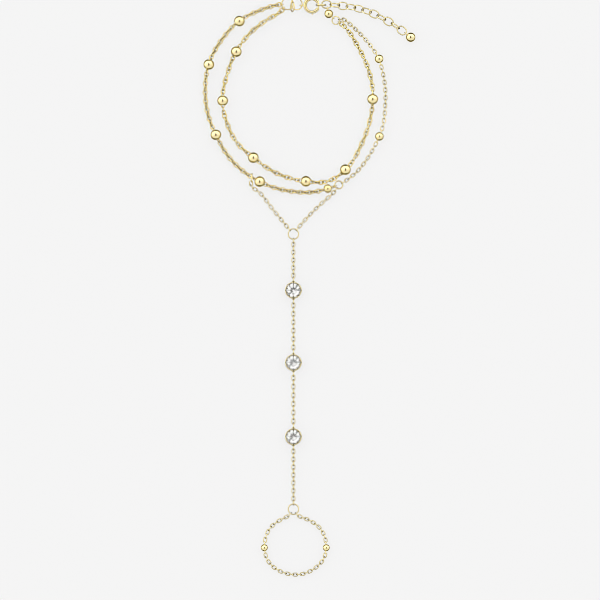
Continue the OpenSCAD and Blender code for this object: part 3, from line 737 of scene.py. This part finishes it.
def lay_links(node, width, wire, rub_from):
    """One mesh of clean links in the places of a node's loose solids. A standing link carries
    painted shade from the share rub_from of its half length on, where it dives between its
    neighbours."""
    parts, inside, painted_shade = [], [], []
    for centre, ways, length in loose_links(node):
        points, own_inside = wire_round(oval_line(length, width, wire), wire / 2, WIRE_SIDES)
        parts.append(centre + points @ ways)
        inside.append(own_inside)
        # Painted shade on the ends of a standing link, none on a flat one
        share = (2 * np.abs(points[:, 0]) / length - rub_from) / SHADE_SPAN
        painted_shade.append(np.clip(share, 0, 1) * np.abs(ways[1, 2]))
    faces = link_faces[None] + len(parts[0]) * np.arange(len(parts))[:, None, None]
    build(f"laid_{node}", np.concatenate(parts) * MM, faces.reshape(-1, 4), chain_gold,
          replaces=(node,), marks={"inside": np.concatenate(inside), "painted_shade": np.concatenate(painted_shade)})


for node in frame["nodes"]:
    if node in ("extender_chain", "clasp_link", "end_link"):
        lay_links(node, LARGE_W, LARGE_WIRE, LARGE_SHADE_FROM)
    elif "chain" in node or node in ("arm_left", "arm_right"):
        lay_links(node, CABLE_W, CABLE_WIRE, CABLE_SHADE_FROM)

# %% [markdown]
# The eared beads, the arm's ring and the clasp have the right shape in the solids already, so
# they stay and only take their finish.

# %% Finish the nodes that stay
# Solids carry no marks, so here a marked finish shows its clean tone and its painted corner shade alone
FINISHES = {
    "ball_gold": mirror_gold,
    "chain_gold": chain_gold,
    "ring_gold": chain_gold,
    "clasp_gold": clasp_gold,
    "setting_gold": setting_gold,
    "strand_gold": chain_gold,
    "stone": stone_glass.owner,
}
for node, piece in frame["nodes"].items():
    piece.data.materials.clear()
    piece.data.materials.append(FINISHES[slots[node]])
print(len(frame["nodes"]), "nodes finished")

# %% [markdown]
# The table is a plain pale sheet under a white tent, which is the world itself, painted by
# direction: brighter at the clasp's end, dimmer at the finger's. Polished metal shows only what
# stands round it, so it also needs something dark. The lens looks in through a hole above, which
# draws the dark dot in each ball, and the stones gather it to dark arrows. From a little below
# the table's level down the metal sees dark cards instead of the sheet: glossy rays pass through
# the sheet and find the lower half of the world, dark all round and lighter straight below. That
# draws the thin dark rim of each ball and the dark edges of each wire, and leaves the settings'
# sides some light. The camera sees most of the sheet's light as an even glow, so that shadows
# stay very faint, as on a sheet that is lit from beneath.

# %% The table
SHEET_TONE, EVEN_SHARE, EVEN_LIGHT = 0.913, 0.85, 0.905
# Where the camera looks, and how far the sheet lies under the lowest wires, in millimetres
VIEW_X, VIEW_Y, SHEET_DROP = 2.112, -64, 0.02
span = 1.5
sheet = np.array([[-span, -span, 0], [span, -span, 0], [span, span, 0], [-span, span, 0]])
table_mesh = bpy.data.meshes.new("table")
table_mesh.from_pydata(sheet + np.array([0, VIEW_Y, -SHEET_DROP]) * MM, [], [[0, 1, 2, 3]])
table = bpy.data.objects.new("table", table_mesh)
bpy.context.scene.collection.objects.link(table)
paper = Finish(bpy.data.materials.new("pale_paper"))
fibre = paper.noise(900, 4)
paper.feed(
    paper.shader,
    {
        "Base Color": paper.mix(fibre, (0.915, 0.915, 0.915, 1), (0.925, 0.925, 0.925, 1)),
        "Roughness": 0.9,
        "Specular IOR Level": 0.1,
    },
)
seen = paper.node("ShaderNodeLightPath", {}, {}, "Is Camera Ray")
mirrored = paper.node("ShaderNodeLightPath", {}, {}, "Is Glossy Ray")
matt = Value(paper, paper.shader.outputs["BSDF"])
even = paper.node("ShaderNodeEmission", {}, {"Color": (1, 1, 1, 1), "Strength": EVEN_LIGHT})
open_air = paper.node("ShaderNodeBsdfTransparent")
surface = paper.blend(mirrored, paper.blend(seen * EVEN_SHARE, matt, even), open_air)
paper.tree.links.new(surface.socket, paper.tree.nodes["Material Output"].inputs["Surface"])
table_mesh.materials.append(paper.owner)
print("table, metres across:", 2 * span)

# %% The light tent
NORTH_LIGHT, SOUTH_LIGHT = 1.52, 0.9
END_CARDS, SIDE_CARDS = 0.02, 0.25
LENS_GLOW, LENS_IN_STONE, FLOOR_GLOW = 0.08, 0.02, 0.4
CARD_TINT, LENS_TINT, WHITE = (1, 0.82, 0.3, 1), (1, 0.8, 0.7, 1), (1, 1, 1, 1)
# The hole's narrowness from east to west and from north to south, and its soft edge
HOLE_EAST, HOLE_NORTH, HOLE_EDGE = 12, 3.5, (0.5, 1.4)
world = bpy.data.worlds.new("light_tent")
bpy.context.scene.world = world
tent = Finish(world, "Background")
east, north, up = tent.node("ShaderNodeTexCoord", {}, {}, "Generated").parts()
# From the finger's end, 0, to the clasp's end, 1
side = (north + east * -0.25).rise(-0.45, 0.5)
# The hole above, and the small one that rays through a stone find instead of it
lens = up.rise(0, 0.1) * (1 - (east * east * HOLE_EAST + north * north * HOLE_NORTH).rise(*HOLE_EDGE))
lens_in_stone = (up * 0.99 + north * -0.1 + east * 0.08).rise(0.981, 0.984)
through = tent.node("ShaderNodeLightPath", {}, {}, "Is Transmission Ray")
dimmed = lens * (1 - LENS_GLOW)
hole = dimmed + through * (lens_in_stone * (1 - LENS_IN_STONE) - dimmed)
# The tent's wall with its hole, the cards below, and the lighter floor straight down
wall = (SOUTH_LIGHT + side * (NORTH_LIGHT - SOUTH_LIGHT)) * (1 - hole)
cards = SIDE_CARDS + north * north * (END_CARDS - SIDE_CARDS)
above = (up + north * north * -0.4).rise(-0.5, -0.25)
tint = tent.mix(above, CARD_TINT, tent.mix(lens * (1 - through), WHITE, LENS_TINT))
floor = (1 - up.rise(-0.97, -0.86)) * FLOOR_GLOW
glow = cards + above * (wall - cards) + floor
seen = tent.node("ShaderNodeLightPath", {}, {}, "Is Camera Ray")
tent.feed(
    tent.shader,
    {"Color": tent.mix(seen, tint, WHITE), "Strength": seen * SHEET_TONE + (1 - seen) * glow},
)
print("tent: north", NORTH_LIGHT, "south", SOUTH_LIGHT)

# %% [markdown]
# The camera looks straight down from far enough for the view to be nearly square on.

# %% The camera
camera_data = bpy.data.cameras.new("camera")
camera = bpy.data.objects.new("camera", camera_data)
bpy.context.scene.collection.objects.link(camera)
# Height of the camera and width of its view, in metres, and width of its sensor, in millimetres
HEIGHT, ACROSS, SENSOR = 1.5, 0.192, 36
camera_data.sensor_width = SENSOR
camera_data.lens = SENSOR * HEIGHT / ACROSS
camera_data.clip_end = 10
camera.location = (VIEW_X * MM, VIEW_Y * MM, HEIGHT)
bpy.context.scene.camera = camera
bpy.context.scene.view_settings.view_transform = "Standard"
bpy.context.scene.cycles.filter_width = 0.8
print("lens, mm:", round(camera_data.lens, 1))

# %% [markdown]
# Last, the scene is brought up to date.

# %% Update the scene
bpy.context.view_layer.update()
